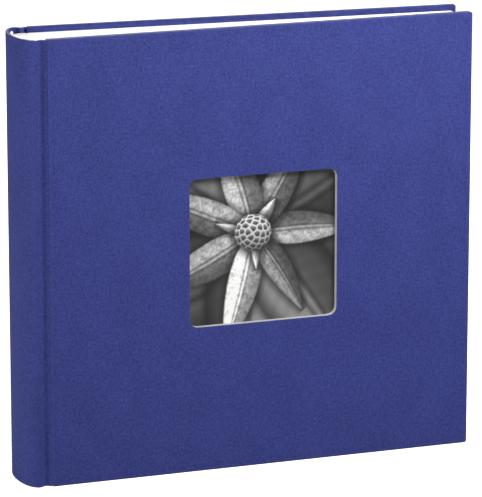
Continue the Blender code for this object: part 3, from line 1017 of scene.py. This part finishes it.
def scaly_bud(tones, across, up, middle, radius):
    """Paints a round bud: a pale net of scale rims round dark hollows, lit from above."""
    x, y = (across - middle[0]) / radius, (up - middle[1]) / radius
    far = np.hypot(x, y)
    tones = tones * (1 - 0.75 * np.clip((1.5 - far) * 2.2, 0, 1))
    near = np.flatnonzero(far < 1)
    spots = np.stack([x[near], y[near], np.sqrt(1 - far[near] ** 2)], axis=1)
    tilt = Matrix.Rotation(-BUD_TILT, 3, "X")
    centres = []
    for k in range(BUD_SCALES):
        down = math.acos(1 - 1.35 * (k + 0.5) / BUD_SCALES)
        turn = k * GOLDEN_TURN
        ring = math.sin(down)
        place = Vector((ring * math.cos(turn), ring * math.sin(turn), math.cos(down)))
        centres.append(tilt @ place)
    centres = np.array(centres)
    gaps = np.linalg.norm(spots[:, None, :] - centres[None, :, :], axis=2)
    order = np.sort(gaps, axis=1)
    nearest = centres[np.argmin(gaps, axis=1)]
    rim = np.exp(-(((order[:, 1] - order[:, 0]) / 0.085) ** 2))
    rise = np.clip(0.5 + (spots[:, 1] - nearest[:, 1]) * 3.2, 0, 1)
    light = 0.55 + 0.45 * spots[:, 1] + 0.25 * spots[:, 2]
    shade = rim * 0.95 + (1 - rim) * (0.04 + 0.42 * rise**2)
    tones[near] = np.clip(shade * np.clip(light, 0.25, 1.05), 0, 1)
    return tones


def plant_tones(across, up, settings):
    """Tones of a generic plant: broad leaves spread round a scaly bud on a dark ground."""
    seed = PICTURE_SEED
    draw = random.Random(seed)
    middle = (settings.bud_across, settings.bud_up)
    grain = mottle(across, up, 110, seed) * 0.6 + mottle(across, up, 48, seed + 1) * 0.4
    tones = 0.03 + 0.16 * mottle(across, up, 4, seed + 2) ** 2
    for count, lengths, widths, levels, blur, turn in BLADE_RINGS:
        for k in range(count):
            blade = (
                turn + 2 * math.pi * k / count + draw.uniform(-0.2, 0.2),
                draw.uniform(*lengths),
                draw.uniform(*widths),
                draw.uniform(*levels),
                draw.choice((-1, 1)) * draw.uniform(0.03, 0.16),
                blur,
            )
            tones = leaf_blade(tones, across, up, middle, blade, grain if blur < 0.05 else 0.5)
    tones = scaly_bud(tones, across, up, middle, settings.bud_size)
    return np.clip(tones, 0, 1) ** TONE_POWER


class ALBUM_OT_window_picture(bpy.types.Operator):
    """Make the picture behind the window, on a fine mesh that carries its tones"""

    bl_idname = "album.window_picture"
    bl_label = "Window picture"

    def execute(self, context):
        settings = context.scene.album_picture
        size = PRINT_HIGH - PRINT_LOW
        middle = (PRINT_LOW + PRINT_HIGH) / 2
        bpy.ops.mesh.primitive_grid_add(
            x_subdivisions=settings.columns,
            y_subdivisions=round(settings.columns * size.z / size.x),
            size=1,
            location=(middle.x, PRINT_LOW.y, middle.z),
            rotation=(math.pi / 2, 0, 0),
        )
        piece = settled("window_picture", (size.x, size.z, 1))
        with Edit(piece):
            bpy.ops.mesh.select_all(action="SELECT")
            bpy.ops.mesh.region_to_loop()
            bpy.ops.mesh.extrude_edges_move(TRANSFORM_OT_translate={"value": (0, size.y, 0)})
            bpy.ops.mesh.edge_face_add()
        places = np.array([v.co for v in piece.data.vertices])
        across = (places[:, 0] - WINDOW_X[0]) / (WINDOW_X[1] - WINDOW_X[0])
        up = (places[:, 2] - WINDOW_Z[0]) / (WINDOW_Z[1] - WINDOW_Z[0])
        layer = piece.data.attributes.new("print_tone", "FLOAT", "POINT")
        layer.data.foreach_set("value", plant_tones(across, up, settings).astype(np.float32))
        piece.data.transform(FRONT.closed)
        dress(piece, "printed paper")
        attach(piece, FRONT.cover)
        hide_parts("window_print")
        return {"FINISHED"}


# Leaves


def leaf_lean(node):
    """How far a closed leaf's node leans, from its near half's middle to its far half's."""
    low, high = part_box(node)
    middle = (low.x + high.x) / 2
    places = [v.co for v in frame["nodes"][node].data.vertices]
    near = [p for p in places if p.x < middle]
    far = [p for p in places if p.x >= middle]
    rise = sum(p.y for p in far) / len(far) - sum(p.y for p in near) / len(near)
    run = sum(p.x for p in far) / len(far) - sum(p.x for p in near) / len(near)
    return math.atan2(rise, run)


def leaf_thickness(node):
    """A leaf's thickness, measured with its lean taken out."""
    turn = about((0, 0, 0), -leaf_lean(node))
    low, high = box_of([turn @ v.co for v in frame["nodes"][node].data.vertices])
    return high.y - low.y


def crease_of(body):
    """A place on the line that a leaf or a flyleaf turns about."""
    return Vector(JOINTS[body + "_turn"]["pos_m"])


def creased_sheet(name, node, root_x, crease_y, thickness):
    """A straight sheet as long and high as a node, with loops and a pressed line at its crease."""
    low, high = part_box(node)
    fore_x = CREASE_X + (high.x - CREASE_X) / math.cos(leaf_lean(node)) - FORE_TRIM
    half = thickness / 2
    piece = block(name, (root_x, crease_y - half, low.z), (fore_x, crease_y + half, high.z))
    with Edit(piece) as edit:
        edit.select("EDGE", lambda m, d: m.x > root_x + SAME_PLACE)
        edit.bevel(min(LEAF_EDGE_ROUND, thickness * 0.3), 2)
        for step in range(-FOLD_STEPS // 2, FOLD_STEPS // 2 + 1):
            edit.slice((CREASE_X + FOLD_REACH * 2 * step / FOLD_STEPS, 0, 0), (1, 0, 0))
        for step in (-1, 0, 1):
            edit.slice((PRESS_X + step * PRESS_HALF, 0, 0), (1, 0, 0))
        edit.select("VERT", lambda m, n: abs(m.x - PRESS_X) < SAME_PLACE and m.y < crease_y)
        bpy.ops.transform.translate(value=(0, min(PRESS_DEPTH, thickness / 4), 0))
    smooth(piece, 50)
    return piece


def lean_and_bend(piece, body):
    """Leans a sheet past its crease as it lies when closed."""
    crease = crease_of(body)
    turn = about(crease, leaf_lean(body))
    for vertex in piece.data.vertices:
        if vertex.co.x > crease.x:
            vertex.co = turn @ vertex.co
    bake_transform(piece)
    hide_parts(body)


class ALBUM_OT_leaves(bpy.types.Operator):
    """Make the thirty card leaves, each creased beside its stub"""

    bl_idname = "album.leaves"
    bl_label = "Leaves"

    def execute(self, context):
        draw = random.Random(TRIM_SEED)
        model = creased_sheet("leaf_model", LEAVES[0], STUB_X, 0, leaf_thickness(LEAVES[0]))
        for node in LEAVES:
            piece = own_copy(model, node + "_card")
            trim = draw.uniform(0, 1) * UNEVEN_TRIM
            for vertex in piece.data.vertices:
                if vertex.co.x > PRESS_X + 2 * PRESS_HALF:
                    vertex.co.x -= trim
            piece.data.transform(Matrix.Translation((0, crease_of(node).y, 0)))
            dress(piece, "leaf card")
            lean_and_bend(piece, node)
        bpy.data.objects.remove(model)
        return {"FINISHED"}


class ALBUM_OT_interleaves(bpy.types.Operator):
    """Make the glassine sheets that lie on the backs of the leaves"""

    bl_idname = "album.interleaves"
    bl_label = "Glassine sheets"

    def execute(self, context):
        thickness = context.scene.album_paper.glassine
        low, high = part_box(LEAVES[0])
        margin = GLASSINE_MARGIN
        model = block(
            "glassine_model",
            (GLASSINE_X, 0, low.z + margin),
            (high.x - margin, thickness, high.z - margin),
        )
        with Edit(model):
            bpy.ops.mesh.subdivide(number_cuts=11)
        for vertex in model.data.vertices:
            place = vertex.co
            wave = math.sin(place.x * 31) * math.sin(place.z * 27 + 1)
            wave += math.sin(place.z * 44 + place.x * 18)
            rise = min(1, (place.x - GLASSINE_X) / GLASSINE_RISE)
            vertex.co.y += (GLASSINE_LIFT + GLASSINE_WAVE * wave) * rise
        smooth(model, 60)
        for node in LEAVES[:-1]:
            crease = crease_of(node)
            lift = leaf_thickness(node) / 2 + SHEET_GAP
            piece = own_copy(model, node + "_glassine")
            piece.data.transform(Matrix.Translation((0, crease.y + lift, 0)))
            piece.data.transform(about(crease, leaf_lean(node)))
            dress(piece, "glassine")
            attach(piece, node)
        bpy.data.objects.remove(model)
        return {"FINISHED"}


class ALBUM_OT_endpapers(bpy.types.Operator):
    """Make the flyleaves and the paper that joins each one to its cover through the groove"""

    bl_idname = "album.endpapers"
    bl_label = "Endpapers"

    def execute(self, context):
        thickness = ENDPAPER_THICKNESS
        for side in (FRONT, BACK):
            node = side.flyleaf
            crease_y = crease_of(node).y
            sheet = creased_sheet(node + "_paper", node, FLYLEAF_ROOT_X, crease_y, thickness)
            dress(sheet, "endpaper")
            lean_and_bend(sheet, node)
            low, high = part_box(node)
            places = groove_places(side, ENDPAPER_SECTION)
            path = places[::-1] if side is FRONT else places
            joint = strip(side.name + "_endpaper_joint", path, low.z, high.z, thickness)
            smooth(joint, 60)
            dress(joint, "endpaper")
            bend_in_groove(joint)
            dress(frame["nodes"][side.name + "_pastedown"], "endpaper")
        return {"FINISHED"}


# Binding


class ALBUM_OT_headbands(bpy.types.Operator):
    """Make the thread-wrapped bands at the head and tail of the spine"""

    bl_idname = "album.headbands"
    bl_label = "Headbands"

    def execute(self, context):
        for node in ("headband", "tailband"):
            self.band(node, *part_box(node))
        return {"FINISHED"}

    def band(self, node, low, high):
        """One band: a core that follows the block's back, with a rib for each turn of thread."""
        radius = (high.z - low.z) / 2
        middle_z = (low.z + high.z) / 2
        bulge = SHOULDER_X - low.x - radius
        half = SPINE_HALF - (SPINE_BULGE - bulge)
        start = math.asin((low.y + BAND_TRIM) / half)
        end = math.asin(min((high.y - BAND_TRIM) / half, 0.999))
        steps = BAND_TURNS * 2
        bpy.ops.curve.primitive_nurbs_path_add(location=(0, 0, 0))
        piece = named(node + "_silk")
        curve = piece.data
        curve.splines.clear()
        spline = curve.splines.new("POLY")
        spline.points.add(steps)
        for k, point in enumerate(spline.points):
            angle = start + (end - start) * k / steps
            point.co = (SHOULDER_X - bulge * math.cos(angle), half * math.sin(angle), middle_z, 1)
            taper = min(1, 0.35 + 0.25 * min(k, steps - k))
            point.radius = (1.0 if k % 2 else 0.86) * taper
        curve.bevel_depth = radius
        curve.bevel_resolution = 3
        curve.use_fill_caps = True
        activate(piece)
        bpy.ops.object.convert(target="MESH")
        piece = bpy.context.object
        with Edit(piece):
            bpy.ops.mesh.select_all(action="SELECT")
            bpy.ops.mesh.remove_doubles(threshold=SAME_PLACE)
            bpy.ops.mesh.normals_make_consistent(inside=False)

        def on_rib(place):
            angle = math.atan2(place.y / half, (SHOULDER_X - place.x) / bulge)
            return round((angle - start) / (end - start) * steps) % 2, 0, 0

        run_attribute(piece, on_rib)
        smooth(piece, 80)
        dress(piece, "silk headband")
        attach(piece, "binding")
        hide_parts(node)


GUARDS = sorted(node for node in frame["nodes"] if node.startswith("guard_section_"))

# Material, slot and the nodes that have them
INNER_FINISHES = (
    ("grey board", "greyboard", ("front_board_window_ply", "front_board_pocket_ply", "back_board")),
    ("backing card", "spine_card", ("print_backing_card", "spine_card")),
    ("linen tape", "linen_tape", [f"sewing_tape_{k}" for k in ("lower", "middle", "upper")]),
    ("mull gauze", "mull_gauze", ("mull_lining",)),
    ("kraft liner", "kraft_paper", ("spine_liner",)),
    ("linen thread", "linen_thread", ("kettle_stitch_head", "kettle_stitch_tail")),
    ("leaf card", "leaf_card", GUARDS),
)


class ALBUM_OT_inner_parts(bpy.types.Operator):
    """Finish the boards, cards, tapes, linings, stitches and stubs inside the case"""

    bl_idname = "album.inner_parts"
    bl_label = "Inner parts"

    def execute(self, context):
        for finish, slot, nodes in INNER_FINISHES:
            for node in nodes:
                dress(frame["nodes"][node], finish)
        return {"FINISHED"}


# Stage

CAMERA_PLACE = (-0.7724, -2.3253, 0.7432)
CAMERA_YAW = -18.383
CAMERA_PITCH = -13.713
CAMERA_LENS = 272.8
CAMERA_SENSOR = 36
FLOOR_SIZE = 24
FLOOR_TOP = -0.2 * MM

# Square soft lights: name, place, size and the setting that holds the power
LIGHTS = (
    ("key light", (0.30, -0.48, 0.73), 0.35, "key_power"),
    ("fill light", (-1.3, -0.38, 0.35), 0.6, "fill_power"),
    ("back light", (0.35, 1.30, 0.95), 0.6, "back_power"),
)


class ALBUM_OT_stage(bpy.types.Operator):
    """Make the plain floor, the soft lights and the camera"""

    bl_idname = "album.stage"
    bl_label = "Stage"

    def execute(self, context):
        settings = context.scene.album_stage
        self.floor(settings)
        self.room(context.scene, settings.room_light)
        context.scene.view_settings.view_transform = "Standard"
        centre = Vector((0, 0, HEIGHT / 2))
        for name, place, size, power in LIGHTS:
            bpy.ops.object.light_add(type="AREA", location=place)
            lamp = named(name)
            lamp.rotation_euler = (centre - Vector(place)).to_track_quat("-Z", "Y").to_euler()
            lamp.data.size = size
            lamp.data.energy = getattr(settings, power)
        bpy.ops.object.camera_add(location=CAMERA_PLACE)
        camera = named("camera")
        camera.rotation_euler = (math.radians(90 + CAMERA_PITCH), 0, math.radians(CAMERA_YAW))
        camera.data.lens = CAMERA_LENS
        camera.data.sensor_width = CAMERA_SENSOR
        camera.data.clip_end = 100
        context.scene.camera = camera
        return {"FINISHED"}

    @staticmethod
    def floor(settings):
        """A plain floor that shows white to the camera and throws back less light than that."""
        bpy.ops.mesh.primitive_plane_add(size=FLOOR_SIZE, location=(0, 0, FLOOR_TOP))
        floor = named("floor")
        finish = Finish("floor", IOR=1.3, Emission_Strength=settings.floor_glow)
        speckle = finish.noise(finish.place(), 0.6)
        colour = finish.shade(speckle, settings.floor_colour, 0.99)
        finish.set(Base_Color=colour, Roughness=0.9 + speckle * 0.05, Emission_Color=(1, 1, 1))
        shaded = finish.node("BsdfDiffuse", inputs={"Color": (settings.floor_bounce,) * 3})
        seen = finish.node("LightPath").outputs["Is Camera Ray"]
        whole = finish.shader.outputs[0]
        mixed = finish.node("MixShader", inputs={0: seen, 1: shaded.outputs[0], 2: whole})
        finish.join(mixed.outputs[0], finish.tree.nodes["Material Output"].inputs["Surface"])
        floor.data.materials.append(finish.material)

    @staticmethod
    def room(scene, strength):
        """A white room, which lights the album less than its own brightness."""
        world = bpy.data.worlds.new("studio")
        world.use_nodes = True
        tree = world.node_tree
        tree.nodes["Background"].inputs["Color"].default_value = (strength, strength, strength, 1)
        wall = tree.nodes.new("ShaderNodeBackground")
        wall.inputs["Color"].default_value = (1, 1, 1, 1)
        rays = tree.nodes.new("ShaderNodeLightPath")
        mixed = tree.nodes.new("ShaderNodeMixShader")
        tree.links.new(rays.outputs["Is Camera Ray"], mixed.inputs[0])
        tree.links.new(tree.nodes["Background"].outputs[0], mixed.inputs[1])
        tree.links.new(wall.outputs[0], mixed.inputs[2])
        tree.links.new(mixed.outputs[0], tree.nodes["World Output"].inputs["Surface"])
        scene.world = world


OPERATORS = (
    ALBUM_OT_case_covers,
    ALBUM_OT_spine,
    ALBUM_OT_grooves,
    ALBUM_OT_window_picture,
    ALBUM_OT_leaves,
    ALBUM_OT_interleaves,
    ALBUM_OT_endpapers,
    ALBUM_OT_headbands,
    ALBUM_OT_inner_parts,
    ALBUM_OT_stage,
)

SETTINGS = {
    "album_cloth": AlbumClothSettings,
    "album_paper": AlbumPaperSettings,
    "album_picture": AlbumPictureSettings,
    "album_stage": AlbumStageSettings,
}


class VIEW3D_PT_album(bpy.types.Panel):
    """Lists the album's settings and the operators that make its pieces"""

    bl_label = "Photo album"
    bl_idname = "VIEW3D_PT_album"
    bl_space_type = "VIEW_3D"
    bl_region_type = "UI"
    bl_category = "Album"

    def draw(self, context):
        for name, group in SETTINGS.items():
            box = self.layout.box()
            for key in group.__annotations__:
                box.prop(getattr(context.scene, name), key)
        for operator in OPERATORS:
            self.layout.operator(operator.bl_idname)


CLASSES = (*SETTINGS.values(), *OPERATORS, VIEW3D_PT_album)


def register():
    for made in CLASSES:
        bpy.utils.register_class(made)
    for name, group in SETTINGS.items():
        setattr(bpy.types.Scene, name, bpy.props.PointerProperty(type=group))


def unregister():
    for name in SETTINGS:
        delattr(bpy.types.Scene, name)
    for made in reversed(CLASSES):
        bpy.utils.unregister_class(made)


def main():
    register()
    for operator in OPERATORS:
        group, name = operator.bl_idname.split(".")
        getattr(getattr(bpy.ops, group), name)()


if __name__ == "__main__":
    main()
